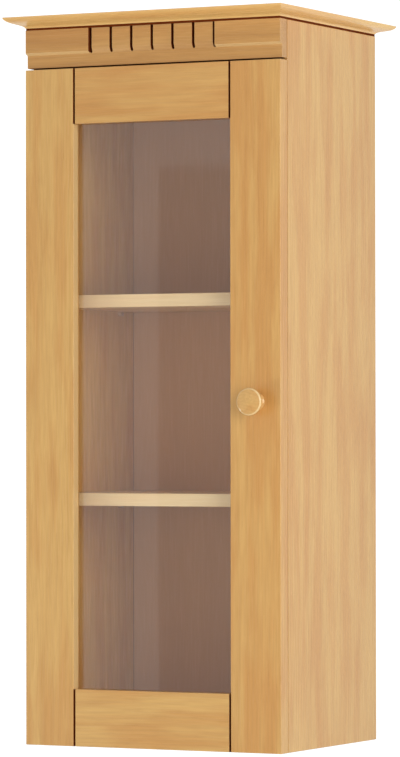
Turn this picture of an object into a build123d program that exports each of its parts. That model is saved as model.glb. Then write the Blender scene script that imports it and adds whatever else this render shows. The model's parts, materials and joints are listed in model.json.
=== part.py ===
from build123d import *
import math
import os

# A wall cabinet of clear-lacquered pine with a glazed door, a fluted fascia and a moulded crown.
# All sizes are in millimetres. X runs to the right, Y into the wall and Z up.
# The origin lies on the wall plane, midway between the two hanging holes.

# Carcass
cabinet_width = 400
carcass_height = 1006
carcass_depth = 286
wall_gap = 34  # from the carcass back to the wall
board = 18  # thickness of sides, top, bottom and shelves
edge_ease = 0.5  # softened edges of show faces
back_thickness = 4
back_inset = 15  # from the carcass back to the back panel
groove_depth = 6  # of the groove that holds the back panel
groove_clearance = 0.2

# Battens behind the back panel
batten_height = 70
spacer_height = 50
batten_setback = 12  # of the batten ends behind the carcass
hanger_spacing = 256
hanger_hole_radius = 4

# Front rail and fascia
rail_thickness = 20
rail_overlap = 15  # behind the top of the door
fascia_height = 53.3
fascia_gap = 2.7  # between door and fascia
fascia_raised = 35.4  # height of the raised end blocks
fascia_bevel = 3  # height of the bevel under the end blocks
fascia_recess = 6  # of the lower band behind the end blocks
fluted_recess = 2.5  # of the fluted middle behind the end blocks
fluted_ramp = 8  # height over which the middle runs down to the lower band
flute_count = 7
flute_pitch = 32.4
flute_width = 4
flute_depth = 8
flute_length = 35
shadow_width = 4  # of the shadow rebate behind the ends of the fascia
shadow_depth = 2.2

# Crown
crown_gap = 3  # height of the set-back line under the crown
crown_setback = 0.6
crown_height = 13.6
crown_nose = 0.8  # upright edge at the top of the moulding
crown_side = 18  # overhangs beyond the body
crown_front = 34.5
crown_rear = 33.3
crown_land = 0.5  # moulding inside the body line, as a share of its overhang
crown_curve = ((0.04, 0.44), (0.88, 0.3))  # bends of the moulding, as shares of overhang and height

# Shelves
shelf_heights = {"lower": 354, "upper": 633}  # shelf tops above the cabinet's foot
shelf_setback = 15
shelf_side_gap = 0.8
shelf_back_gap = 1
shelf_pin_radius = 2.5
shelf_pin_length = 8  # inside the side panel
shelf_rest_radius = 4
shelf_rest_length = 7
shelf_pin_inset = 45  # from the shelf's front and back edges

# Dowels
dowel_radius = 4
dowel_in_panel = 12
dowel_in_board = 20
dowel_clearance = 0.05
dowel_inset = 45  # of the outer dowels from a board's edges
rail_dowel_spacing = 26
batten_dowel_spacing = 36
door_dowel_length = 50
door_dowel_inset = 20  # from a rail's outer edge

# Door
door_thickness = 22
door_gap = 1.2  # between the closed door and the carcass
rest_clearance = 0.3  # between the closed door and what it closes against
stile_width = 77
top_rail_height = 78
bottom_rail_height = 80
joint_line_width = 2.4  # groove between stile and rail
joint_line_depth = 6
glass_setback = 13
glass_thickness = 4
glass_clearance = 1
rebate_width = 8
bead_clearance = 0.2
bead_setback = 3  # of the beads behind the edge of the opening
brad_radius = 0.6
brad_head_radius = 1
brad_head = 0.5
brad_length = 15
side_brads = 4
end_brads = 2

# Knob
knob_height = 481  # above the cabinet's foot
knob_offset = 1.5  # to the right of the stile's middle
knob_radius = 19
knob_foot_radius = 13
knob_foot = 1.5
knob_waist_radius = 8.5
knob_waist = 10  # distance of the waist from the door
knob_disc = 18  # distance of the disc from the door
knob_rim_radius = 3.2  # rounding of the disc's rim
knob_front = 25.2  # distance of the disc's front edge from the door
knob_projection = 27
knob_screw_radius = 2
knob_screw_head_radius = 4.2
knob_screw_head = 2.4
knob_screw_reach = 14  # inside the knob

# Hinges
hinge_length = 50
hinge_inset = 110  # of each hinge's middle from the door's foot and top
leaf_thickness = 1.5
leaf_width = 16
leaf_gap = 0.2  # between the closed leaves
leaf_clearance = 0.1  # around each leaf in its mortise
knuckle_count = 5
knuckle_radius = 2.8
knuckle_gap = 0.3
knuckle_reach = 3.2  # of the pin's axis outside the body
pin_radius = 1.4
pin_fit = 0.05
pin_head_radius = 2.2
pin_head = 1
leaf_screw_spacing = 17
leaf_screw_inset = 10

# Screws: head radius, shank radius and length
screw_clearance = 0.05
screw_hole_rise = 1  # of a screw's hole above its head
leaf_screw = (2.8, 1.4, 14)
fascia_screw = (3.8, 2, 32)
fascia_screw_count = 4
fascia_screw_inset = 20  # of the outer screws from the ends of the front rail
fascia_screw_height = 29  # above the fascia's foot
crown_screw = (3.8, 2, 30)
strike_screw = (2.6, 1.3, 12)
catch_screw = (2.6, 1.3, 22)
drive_width = 0.8  # of the cross recess
drive_depth = 1

# Magnetic catch
catch_height = 560  # above the cabinet's foot
catch_length = 46
catch_width = 13
catch_depth = 16
catch_set_back = 0.5
pole_thickness = 1.2
pole_length = 26
pole_depth = 12
magnet_thickness = 4
magnet_length = 24
magnet_depth = 10
catch_screw_spacing = 36
strike_width = 12
strike_length = 30
strike_thickness = 0.8
bumper_radius = 4
bumper_inset = 30

# Planes and lines that follow from these sizes
half_width = cabinet_width / 2
inner_half = half_width - board
foot = -(carcass_height - board - batten_height / 2)
carcass_top = foot + carcass_height
carcass_back = -wall_gap
carcass_front = carcass_back - carcass_depth
back_rear = carcass_back - back_inset
back_front = back_rear - back_thickness
door_back = carcass_front - door_gap
door_front = door_back - door_thickness
fascia_foot = carcass_top - fascia_height
door_top = fascia_foot - fascia_gap
opening_half = half_width - stile_width
opening_foot = foot + bottom_rail_height
opening_top = door_top - top_rail_height
bead_half = opening_half + bead_setback
bead_foot = opening_foot - bead_setback
bead_top = opening_top + bead_setback
glass_front = door_front + glass_setback
glass_back = glass_front + glass_thickness
crown_foot = carcass_top + crown_gap
crown_top = crown_foot + crown_height
mortise = (2 * leaf_thickness + leaf_gap - door_gap) / 2
pin_x = -half_width - knuckle_reach
pin_y = (door_back + carcass_front) / 2
hinge_middles = {"lower": foot + hinge_inset, "upper": door_top - hinge_inset}
knob_x = half_width - stile_width / 2 + knob_offset
knob_z = foot + knob_height
catch_z = foot + catch_height
catch_middle = inner_half - catch_width / 2
pole_front = door_back + strike_thickness + rest_clearance

RIGHT = (1, 0, 0)
LEFT = (-1, 0, 0)
BACK = (0, 1, 0)
FRONT = (0, -1, 0)
UP = (0, 0, 1)
DOWN = (0, 0, -1)


def block(x, y, z):
    """A board given by its lower and upper limit along each axis."""
    size = [limits[1] - limits[0] for limits in (x, y, z)]
    return Pos(x[0], y[0], z[0]) * Box(*size, align=(Align.MIN, Align.MIN, Align.MIN))


def rod(start, direction, radius, length):
    """A round bar that runs from start along direction."""
    bar = Cylinder(radius, length, align=(Align.CENTER, Align.CENTER, Align.MIN))
    return Plane(origin=start, z_dir=direction) * bar


def eased(shape, side, sharp=0):
    """The board with the edges of its face on one side softened, apart from the front ones left sharp."""
    face = shape.faces().sort_by(side)[-1]
    return chamfer(face.edges().sort_by(Axis.Y)[sharp:], edge_ease)


def turned(points):
    """A solid turned about Z from (radius, height) points of its half section."""
    outline = Polyline(*[(radius, 0, height) for radius, height in points], close=True)
    return revolve(make_face(outline), Axis.Z)


def placed(shape, point, pointing):
    """The shape, made hanging down from its origin, moved to point and turned to one direction."""
    return Plane(origin=point, z_dir=tuple(-value for value in pointing)) * shape


def screw(size):
    """A countersunk wood screw with a cross recess, its head at the origin and its tip below."""
    head, shank, length = size
    body = turned([(0, 0), (head, 0), (shank, shank - head), (shank, shank - length), (0, -length)])
    arm = Box(drive_width, head, 2 * drive_depth)
    return body - arm - Rot(0, 0, 90) * arm


def screw_hole(size):
    """The hole that a countersunk screw sits in, open above its head."""
    head, shank, length = size
    wide = head + screw_clearance
    narrow = shank + screw_clearance
    points = [(0, screw_hole_rise), (wide, screw_hole_rise), (wide, 0), (narrow, narrow - wide)]
    points += [(narrow, shank - length), (0, -length - screw_clearance)]
    return turned(points)


def spread(low, high, count):
    """Evenly spaced places from low to high."""
    return [low + (high - low) * index / (count - 1) for index in range(count)]


def joint_places():
    """Where dowels join each horizontal board to the side panels, as (y, z) places."""
    deep = spread(carcass_front + dowel_inset, carcass_back - dowel_inset, 3)
    rail_y = carcass_front + rail_thickness / 2
    rail_z = (door_top - rail_overlap + carcass_top - board) / 2
    batten_y = (back_rear + carcass_back) / 2
    spacer_z = foot + board + spacer_height / 2
    return {
        "top_panel": [(y, carcass_top - board / 2) for y in deep],
        "bottom_panel": [(y, foot + board / 2) for y in deep],
        "front_rail": [(rail_y, rail_z + offset * rail_dowel_spacing) for offset in (-0.5, 0.5)],
        "hanging_batten": [(batten_y, offset * batten_dowel_spacing) for offset in (-0.5, 0.5)],
        "spacer_batten": [(batten_y, spacer_z)],
    }


def carcass_dowels(board_name, clearance=0.0):
    """The dowels at both ends of one board, or their holes when a clearance is given."""
    length = dowel_in_panel + dowel_in_board + 2 * clearance
    dowels = []
    for y, z in joint_places()[board_name]:
        for side in (-1, 1):
            start = (side * (inner_half - dowel_in_board - clearance), y, z)
            dowels.append(rod(start, (side, 0, 0), dowel_radius + clearance, length))
    return dowels


def back_groove():
    """The groove for the back panel, as the space that is cut from the boards around it."""
    reach = groove_depth + groove_clearance
    return block(
        (-inner_half - reach, inner_half + reach),
        (back_front - groove_clearance, back_rear + groove_clearance),
        (foot + board - reach, carcass_top - board + reach),
    )


def shelf_pin_places(name):
    """The axes of one shelf's pins, as (y, z) places under the shelf."""
    z = foot + shelf_heights[name] - board - shelf_pin_radius
    front = carcass_front + shelf_setback + shelf_pin_inset
    rear = back_front - shelf_back_gap - shelf_pin_inset
    return [(front, z), (rear, z)]


def shelf_pins(name):
    """A shelf's four pins: a peg in the side panel and a round rest with a flat top."""
    pins = []
    for y, z in shelf_pin_places(name):
        for side in (-1, 1):
            face = side * inner_half
            peg = rod((face, y, z), (side, 0, 0), shelf_pin_radius, shelf_pin_length)
            rest = rod((face, y, z), (-side, 0, 0), shelf_rest_radius, shelf_rest_length)
            seat = z + shelf_pin_radius
            above = block((-half_width, half_width), (y - board, y + board), (seat, seat + board))
            pins.append(peg + rest - above)
    return pins


def shelf_pin_holes():
    """The blind holes for all the shelf pins."""
    holes = []
    radius = shelf_pin_radius + dowel_clearance
    for name in shelf_heights:
        for y, z in shelf_pin_places(name):
            for side in (-1, 1):
                start = (side * inner_half, y, z)
                holes.append(rod(start, (side, 0, 0), radius, shelf_pin_length + groove_clearance))
    return holes


def fascia_screws(shape):
    """Copies of a screw or its hole along the back of the front rail, pointing to the front."""
    y = carcass_front + rail_thickness
    z = fascia_foot + fascia_screw_height
    half = inner_half - fascia_screw_inset
    return [placed(shape, (x, y, z), FRONT) for x in spread(-half, half, fascia_screw_count)]


def crown_screws(shape):
    """Copies of a screw or its hole under the top panel, pointing up into the crown deck."""
    xs = spread(-inner_half + dowel_inset, inner_half - dowel_inset, 3)
    ys = (carcass_front + 2 * dowel_inset, back_front - dowel_inset)
    return [placed(shape, (x, y, carcass_top - board), UP) for x in xs for y in ys]


def catch_screws(shape):
    """Copies of a screw or its hole through the catch, pointing into the right side panel."""
    y = carcass_front + catch_set_back + catch_depth / 2
    x = inner_half - catch_width
    return [placed(shape, (x, y, catch_z + side * catch_screw_spacing / 2), RIGHT) for side in (-1, 1)]


def fixed_leaf_screws(shape):
    """Copies of a screw or its hole in both fixed leaves, pointing into the side panel's edge."""
    x = -half_width + leaf_screw_inset
    y = carcass_front + mortise - leaf_thickness
    offsets = (-leaf_screw_spacing, 0, leaf_screw_spacing)
    return [placed(shape, (x, y, z + offset), BACK) for z in hinge_middles.values() for offset in offsets]


def door_leaf_screws(shape):
    """Copies of a screw or its hole in both door leaves, pointing into the door."""
    x = -half_width + leaf_screw_inset
    y = door_back - mortise + leaf_thickness
    offsets = (-leaf_screw_spacing, 0, leaf_screw_spacing)
    return [placed(shape, (x, y, z + offset), FRONT) for z in hinge_middles.values() for offset in offsets]


def leaf_mortises(low, high):
    """The shallow housings of both hinges between two depths."""
    reach = hinge_length / 2 + leaf_clearance
    x = (-half_width - board, -half_width + leaf_width + leaf_clearance)
    return [block(x, (low, high), (z - reach, z + reach)) for z in hinge_middles.values()]


def side_panels():
    """Both sides, with the back groove, dowel holes, pin holes and hinge mortises."""
    cuts = [back_groove()]
    for name in joint_places():
        cuts += carcass_dowels(name, dowel_clearance)
    cuts += shelf_pin_holes()
    panels = {}
    for name, side in (("left_side_panel", -1), ("right_side_panel", 1)):
        x = sorted((side * inner_half, side * half_width))
        panel = block(x, (carcass_front, carcass_back), (foot, carcass_top))
        panels[name] = eased(panel, Axis.X if side > 0 else -Axis.X, sharp=1) - cuts
    panels["left_side_panel"] -= leaf_mortises(carcass_front - mortise, carcass_front + mortise)
    panels["left_side_panel"] -= fixed_leaf_screws(screw_hole(leaf_screw))
    panels["right_side_panel"] -= catch_screws(screw_hole(catch_screw))
    return panels


def horizontal_panels():
    """Top and bottom panel between the sides."""
    x = (-inner_half, inner_half)
    y = (carcass_front, carcass_back)
    top = block(x, y, (carcass_top - board, carcass_top))
    top -= carcass_dowels("top_panel", dowel_clearance) + [back_groove()]
    top -= crown_screws(screw_hole(crown_screw))
    bottom = block(x, y, (foot, foot + board))
    bottom -= carcass_dowels("bottom_panel", dowel_clearance) + [back_groove()]
    return {"top_panel": top, "bottom_panel": bottom}


def hanger_holes():
    """The two round holes through the hanging batten and the back panel."""
    start = back_front - back_thickness
    xs = (-hanger_spacing / 2, hanger_spacing / 2)
    return [rod((x, start, 0), BACK, hanger_hole_radius, back_thickness - start) for x in xs]


def back_panel():
    """The thin back, held in the groove all round."""
    reach = groove_depth - groove_clearance
    panel = block(
        (-inner_half - reach, inner_half + reach),
        (back_front, back_rear),
        (foot + board - reach, carcass_top - board + reach),
    )
    return panel - hanger_holes()


def batten(low, high):
    """A batten between the sides that reaches back to the wall, its ends set in behind the carcass."""
    inside = block((-inner_half, inner_half), (back_rear, carcass_back), (low, high))
    setback = inner_half - batten_setback
    return inside + block((-setback, setback), (carcass_back, 0), (low, high))


def battens():
    """The hanging batten under the top panel and the spacer batten on the bottom panel."""
    hanging = batten(-batten_height / 2, batten_height / 2)
    hanging -= carcass_dowels("hanging_batten", dowel_clearance) + hanger_holes()
    spacer = batten(foot + board, foot + board + spacer_height)
    spacer -= carcass_dowels("spacer_batten", dowel_clearance)
    return {"hanging_batten": hanging, "spacer_batten": spacer}


def front_rail():
    """The rail behind the fascia, which also stops the top of the door."""
    rail = block(
        (-inner_half, inner_half),
        (carcass_front, carcass_front + rail_thickness),
        (door_top - rail_overlap, carcass_top - board),
    )
    return rail - carcass_dowels("front_rail", dowel_clearance) - fascia_screws(screw_hole(fascia_screw))


def fascia_cut(points, x):
    """A cut along the fascia, from (depth behind its face, height above its foot) points."""
    outline = Polyline(*[(x[0], door_front + depth, fascia_foot + z) for depth, z in points], close=True)
    return extrude(make_face(outline), amount=x[1] - x[0], dir=RIGHT)


def flutes():
    """The upright grooves in the fascia, with round lower ends."""
    radius = flute_width / 2
    end = carcass_top - flute_length + radius
    rear = door_front + fluted_recess + flute_depth
    cuts = []
    for index in range(flute_count):
        x = (index - (flute_count - 1) / 2) * flute_pitch
        cuts.append(block((x - radius, x + radius), (door_front - board, rear), (end, carcass_top + board)))
        cuts.append(rod((x, rear, end), FRONT, radius, rear - door_front + board))
    return cuts


def fascia_board():
    """The fascia: raised end blocks with a bevel, a fluted middle and a set-back lower band."""
    fascia = block((-half_width, half_width), (door_front, carcass_front), (fascia_foot, carcass_top))
    fascia = eased(fascia, -Axis.Y)
    band = fascia_height - fascia_raised
    middle_half = (flute_count - 1) / 2 * flute_pitch + flute_width / 2
    low = [(-board, -board), (fascia_recess, -board), (fascia_recess, band)]
    bevel = low + [(0, band + fascia_bevel), (-board, band + fascia_bevel)]
    above = fascia_height + board
    ramp = low + [(fluted_recess, band + fluted_ramp), (fluted_recess, above), (-board, above)]
    fascia -= fascia_cut(bevel, (-half_width - board, half_width + board))
    fascia -= fascia_cut(ramp, (-middle_half, middle_half))
    fascia -= flutes()
    for side in (-1, 1):
        x = sorted((side * (half_width - shadow_width), side * (half_width + board)))
        y = (carcass_front - shadow_depth, carcass_front + board)
        fascia -= block(x, y, (fascia_foot - board, carcass_top + board))
    return fascia - fascia_screws(screw_hole(fascia_screw))


def shelf(name):
    """One loose shelf that rests on its four pins."""
    top = foot + shelf_heights[name]
    half = inner_half - shelf_side_gap
    y = (carcass_front + shelf_setback, back_front - shelf_back_gap)
    return eased(block((-half, half), y, (top - board, top)), -Axis.Y)


def crown_section(overhang):
    """Section of the moulding: distance out from the body line, and height above its underside."""
    nose = crown_height - crown_nose
    land = crown_land * overhang
    bends = [(out * overhang, up * nose) for out, up in crown_curve]
    curve = Bezier((0, 0), *bends, (overhang, nose))
    corners = Polyline((overhang, nose), (overhang, crown_height), (-land, crown_height), (-land, 0), (0, 0))
    return make_face([curve, corners])


def crown_moulding(out, middle, overhang, mitred):
    """One side of the crown: its section run along the body's edge and cut to the mitred plan."""
    run = Vector(*out).cross(Vector(*UP))
    plane = Plane(origin=(*middle, crown_foot), x_dir=out, z_dir=run)
    bar = extrude(plane * crown_section(overhang), amount=cabinet_width + carcass_depth, both=True)
    plan = make_face(Polyline(*[(x, y, crown_foot) for x, y in mitred], close=True))
    return bar & extrude(plan, amount=crown_height, dir=UP)


def crown():
    """Set-back spacer board, deck and the four mitred mouldings."""
    side_land = half_width - crown_land * crown_side
    front_land = door_front + crown_land * crown_front
    rear_land = carcass_back - crown_land * crown_rear
    side_tip = half_width + crown_side
    front_tip = door_front - crown_front
    rear_tip = carcass_back + crown_rear
    middle_y = (door_front + carcass_back) / 2
    spacer_half = half_width - crown_setback
    spacer_y = (door_front + crown_setback, carcass_back - crown_setback)
    spacer = block((-spacer_half, spacer_half), spacer_y, (carcass_top, crown_foot))
    deck = block((-side_land, side_land), (front_land, rear_land), (crown_foot, crown_top))
    front = [(-side_land, front_land), (-side_tip, front_tip), (side_tip, front_tip), (side_land, front_land)]
    rear = [(-side_land, rear_land), (-side_tip, rear_tip), (side_tip, rear_tip), (side_land, rear_land)]
    left = [(-side_land, front_land), (-side_tip, front_tip), (-side_tip, rear_tip), (-side_land, rear_land)]
    right = [(-x, y) for x, y in left]
    holes = crown_screws(screw_hole(crown_screw))
    return {
        "crown_spacer": spacer - holes,
        "crown_deck": deck - holes,
        "crown_front": crown_moulding(FRONT, (0, door_front), crown_front, front),
        "crown_back": crown_moulding(BACK, (0, carcass_back), crown_rear, rear),
        "crown_left": crown_moulding(LEFT, (-half_width, middle_y), crown_side, left),
        "crown_right": crown_moulding(RIGHT, (half_width, middle_y), crown_side, right),
    }


def knuckles(parts_of_door, z, radius, gap):
    """The knuckles of one leaf, or the spaces around them when the gap is negative."""
    step = hinge_length / knuckle_count
    bars = []
    for index in range(knuckle_count):
        if (index % 2 == 1) == parts_of_door:
            low = z - hinge_length / 2 + index * step + gap / 2
            bars.append(rod((pin_x, pin_y, low), UP, radius, step - gap))
    return bars


def leaf(of_door, z):
    """One hinge leaf: a plate with its knuckles, bored for the pin and the screws."""
    if of_door:
        y = (door_back - mortise, door_back - mortise + leaf_thickness)
    else:
        y = (carcass_front + mortise - leaf_thickness, carcass_front + mortise)
    half = hinge_length / 2
    plate = block((pin_x, -half_width + leaf_width), y, (z - half, z + half))
    plate -= knuckles(not of_door, z, knuckle_radius + knuckle_gap, -knuckle_gap)
    plate += knuckles(of_door, z, knuckle_radius, knuckle_gap)
    plate -= rod((pin_x, pin_y, z - half - board), UP, pin_radius + pin_fit, hinge_length + 2 * board)
    screws = door_leaf_screws if of_door else fixed_leaf_screws
    return plate - screws(screw_hole(leaf_screw))


def hinge_pin(z):
    """A hinge pin with a small button head at each end."""
    half = hinge_length / 2
    pin = rod((pin_x, pin_y, z - half - pin_head), UP, pin_radius, hinge_length + 2 * pin_head)
    for low in (z - half - pin_head, z + half):
        pin += rod((pin_x, pin_y, low), UP, pin_head_radius, pin_head)
    return pin


def hinges():
    """Fixed leaves, door leaves and pins of both hinges."""
    nodes = {}
    for name, z in hinge_middles.items():
        nodes[name + "_hinge_fixed_leaf"] = leaf(False, z)
        nodes[name + "_hinge_door_leaf"] = leaf(True, z)
        nodes[name + "_hinge_pin"] = hinge_pin(z)
    return nodes


def catch():
    """Magnetic catch on the right side panel: body with a pocket, two pole plates and a magnet."""
    y = (carcass_front + catch_set_back, carcass_front + catch_set_back + catch_depth)
    z = (catch_z - catch_length / 2, catch_z + catch_length / 2)
    body = block((inner_half - catch_width, inner_half), y, z)
    pole_reach = magnet_thickness / 2 + pole_thickness
    pocket_z = (catch_z - pole_length / 2, catch_z + pole_length / 2)
    pocket = block(
        (catch_middle - pole_reach, catch_middle + pole_reach), (pole_front, pole_front + pole_depth), pocket_z
    )
    body = body - pocket - catch_screws(screw_hole(catch_screw))
    poles = []
    for side in (-1, 1):
        x = sorted((catch_middle + side * magnet_thickness / 2, catch_middle + side * pole_reach))
        poles.append(block(x, (pole_front, pole_front + pole_depth), pocket_z))
    magnet_rear = pole_front + pole_depth
    magnet = block(
        (catch_middle - magnet_thickness / 2, catch_middle + magnet_thickness / 2),
        (magnet_rear - magnet_depth, magnet_rear),
        (catch_z - magnet_length / 2, catch_z + magnet_length / 2),
    )
    return {"catch_body": body, "catch_poles": Compound(children=poles), "catch_magnet": magnet}


def strike():
    """The steel strike plate on the door's back, with its screw."""
    plate = block(
        (catch_middle - strike_width / 2, catch_middle + strike_width / 2),
        (door_back, door_back + strike_thickness),
        (catch_z - strike_length / 2, catch_z + strike_length / 2),
    )
    place = (catch_middle, door_back + strike_thickness, catch_z)
    hole = placed(screw_hole(strike_screw), place, FRONT)
    return {"strike_plate": plate - hole, "strike_screw": placed(screw(strike_screw), place, FRONT)}, hole


def door_dowels(clearance=0.0):
    """The dowels that join rails and stiles, or their holes when a clearance is given."""
    y = door_front + door_thickness / 2
    rails = ((foot, opening_foot - rebate_width), (opening_top + rebate_width, door_top))
    length = door_dowel_length + 2 * clearance
    dowels = []
    for low, high in rails:
        for z in (low + door_dowel_inset, high - door_dowel_inset):
            for side in (-1, 1):
                start = (side * (opening_half - length / 2), y, z)
                dowels.append(rod(start, (side, 0, 0), dowel_radius + clearance, length))
    return dowels


def brads(clearance=0.0):
    """The brads that hold the glazing beads, or their holes when a clearance is given."""
    y = (glass_back + door_back) / 2
    head = brad_head_radius + clearance
    shank = brad_radius + clearance
    tip = -brad_length - clearance
    shape = turned([(0, 0), (head, 0), (head, -brad_head), (shank, -brad_head), (shank, tip), (0, tip)])
    inset = (opening_top - opening_foot) / side_brads / 2
    across = opening_half / end_brads
    places = []
    for z in spread(opening_foot + inset, opening_top - inset, side_brads):
        places.append(((-bead_half, y, z), LEFT))
        places.append(((bead_half, y, z), RIGHT))
    for x in spread(-opening_half + across, opening_half - across, end_brads):
        places.append(((x, y, bead_foot), DOWN))
        places.append(((x, y, bead_top), UP))
    return [placed(shape, place, pointing) for place, pointing in places]


def glazing():
    """Glass pane and the four beads that hold it from behind."""
    reach = rebate_width - glass_clearance
    pane = block(
        (-opening_half - reach, opening_half + reach),
        (glass_front, glass_back),
        (opening_foot - reach, opening_top + reach),
    )
    edge = rebate_width - bead_clearance
    y = (glass_back, door_back)
    tall = (opening_foot - edge, opening_top + edge)
    wide = (-bead_half, bead_half)
    beads = {
        "left_glazing_bead": block((-opening_half - edge, -bead_half), y, tall),
        "right_glazing_bead": block((bead_half, opening_half + edge), y, tall),
        "lower_glazing_bead": block(wide, y, (opening_foot - edge, bead_foot)),
        "upper_glazing_bead": block(wide, y, (bead_top, opening_top + edge)),
    }
    holes = brads(screw_clearance)
    nodes = {name: bead - holes for name, bead in beads.items()}
    nodes["glass_pane"] = pane
    nodes["bead_brads"] = Compound(children=brads())
    return nodes


def knob():
    """The turned knob, standing on the door's front, with a blind hole for its screw."""
    flat = knob_radius - knob_rim_radius
    rise = knob_projection - knob_front
    dome_radius = (flat**2 + rise**2) / (2 * rise)
    half_angle = math.asin(flat / dome_radius) / 2
    dome_middle = (dome_radius * math.sin(half_angle), knob_projection - dome_radius * (1 - math.cos(half_angle)))
    section = make_face(
        [
            Spline((knob_foot_radius, knob_foot), (knob_waist_radius, knob_waist), (flat, knob_disc)),
            JernArc((flat, knob_disc), (1, 0), knob_rim_radius, 90),
            Line((knob_radius, knob_disc + knob_rim_radius), (knob_radius, knob_front - knob_rim_radius)),
            JernArc((knob_radius, knob_front - knob_rim_radius), (0, 1), knob_rim_radius, 90),
            ThreePointArc((flat, knob_front), dome_middle, (0, knob_projection)),
            Polyline((0, knob_projection), (0, 0), (knob_foot_radius, 0), (knob_foot_radius, knob_foot)),
        ]
    )
    solid = revolve(Plane.XZ * section, Axis.Z)
    place = Plane(origin=(knob_x, door_front, knob_z), z_dir=FRONT)
    bore = rod((knob_x, door_front, knob_z), FRONT, knob_screw_radius + screw_clearance, knob_screw_reach)
    return place * solid - bore


def knob_screw(clearance=0.0):
    """The knob's screw through the stile, or its hole when a clearance is given."""
    radius = knob_screw_radius + clearance
    shank = rod((knob_x, door_back, knob_z), FRONT, radius, door_thickness + knob_screw_reach)
    if clearance:
        return shank
    head = rod((knob_x, door_back, knob_z), BACK, knob_screw_head_radius, knob_screw_head)
    slot_middle = door_back + knob_screw_head
    slot = Pos(knob_x, slot_middle, knob_z) * Box(knob_screw_head_radius, 2 * drive_depth, drive_width)
    cross = Pos(knob_x, slot_middle, knob_z) * Box(drive_width, 2 * drive_depth, knob_screw_head_radius)
    return shank + chamfer(head.edges().sort_by(Axis.Y)[-1], drive_width) - slot - cross


def door_frame(strike_hole):
    """Stiles and rails, rebated for the glass and bored for all that is fixed to them."""
    rebate = block(
        (-opening_half - rebate_width, opening_half + rebate_width),
        (glass_front, door_back + board),
        (opening_foot - rebate_width, opening_top + rebate_width),
    )
    cuts = [rebate] + door_dowels(dowel_clearance) + brads(screw_clearance)
    tall = (foot, door_top)
    deep = (door_front, door_back)
    left = eased(block((-half_width, -opening_half), deep, tall), -Axis.Y) - cuts
    left -= leaf_mortises(door_back - mortise, door_back + mortise)
    left -= door_leaf_screws(screw_hole(leaf_screw))
    right = eased(block((opening_half, half_width), deep, tall), -Axis.Y) - cuts
    right = right - strike_hole - knob_screw(screw_clearance)
    lines = []
    for side in (-1, 1):
        x = sorted((side * (opening_half - joint_line_width), side * (opening_half + board)))
        lines.append(block(x, (door_front - board, door_front + joint_line_depth), tall))
    wide = (-opening_half, opening_half)
    lower = eased(block(wide, deep, (foot, opening_foot)), -Axis.Y) - cuts - lines
    upper = eased(block(wide, deep, (opening_top, door_top)), -Axis.Y) - cuts - lines
    return {
        "door_left_stile": left,
        "door_right_stile": right,
        "door_bottom_rail": lower,
        "door_top_rail": upper,
    }


def door_bumpers():
    """Two thin felt bumpers between the door's free edge and the right side panel."""
    x = half_width - board / 2
    zs = (foot + bumper_inset, door_top - bumper_inset)
    return [rod((x, door_back, z), BACK, bumper_radius, door_gap - rest_clearance) for z in zs]


def door():
    """Everything that swings with the door, apart from its hinge leaves."""
    strike_nodes, strike_hole = strike()
    nodes = door_frame(strike_hole)
    nodes.update(strike_nodes)
    nodes.update(glazing())
    nodes["door_dowels"] = Compound(children=door_dowels())
    nodes["door_leaf_screws"] = Compound(children=door_leaf_screws(screw(leaf_screw)))
    nodes["door_bumpers"] = Compound(children=door_bumpers())
    nodes["knob"] = knob()
    nodes["knob_screw"] = knob_screw()
    return nodes


def cabinet():
    """Everything that is fixed to the wall."""
    nodes = side_panels()
    nodes.update(horizontal_panels())
    nodes.update(battens())
    nodes.update(crown())
    nodes.update(catch())
    nodes["back_panel"] = back_panel()
    nodes["front_rail"] = front_rail()
    nodes["fascia_board"] = fascia_board()
    for name in shelf_heights:
        nodes[name + "_shelf"] = shelf(name)
        nodes[name + "_shelf_pins"] = Compound(children=shelf_pins(name))
    for name in ("top_panel", "bottom_panel", "front_rail"):
        nodes[name + "_dowels"] = Compound(children=carcass_dowels(name))
    batten_dowels = carcass_dowels("hanging_batten") + carcass_dowels("spacer_batten")
    nodes["batten_dowels"] = Compound(children=batten_dowels)
    nodes["fascia_screws"] = Compound(children=fascia_screws(screw(fascia_screw)))
    nodes["crown_screws"] = Compound(children=crown_screws(screw(crown_screw)))
    nodes["catch_screws"] = Compound(children=catch_screws(screw(catch_screw)))
    nodes["fixed_leaf_screws"] = Compound(children=fixed_leaf_screws(screw(leaf_screw)))
    return nodes


os.makedirs("parts", exist_ok=True)
for group in (cabinet(), door(), hinges()):
    for node, shape in group.items():
        export_step(shape, f"parts/{node}.step")
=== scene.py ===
import json
import math

import bmesh
import bpy
from mathutils import Matrix, Vector


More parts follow.
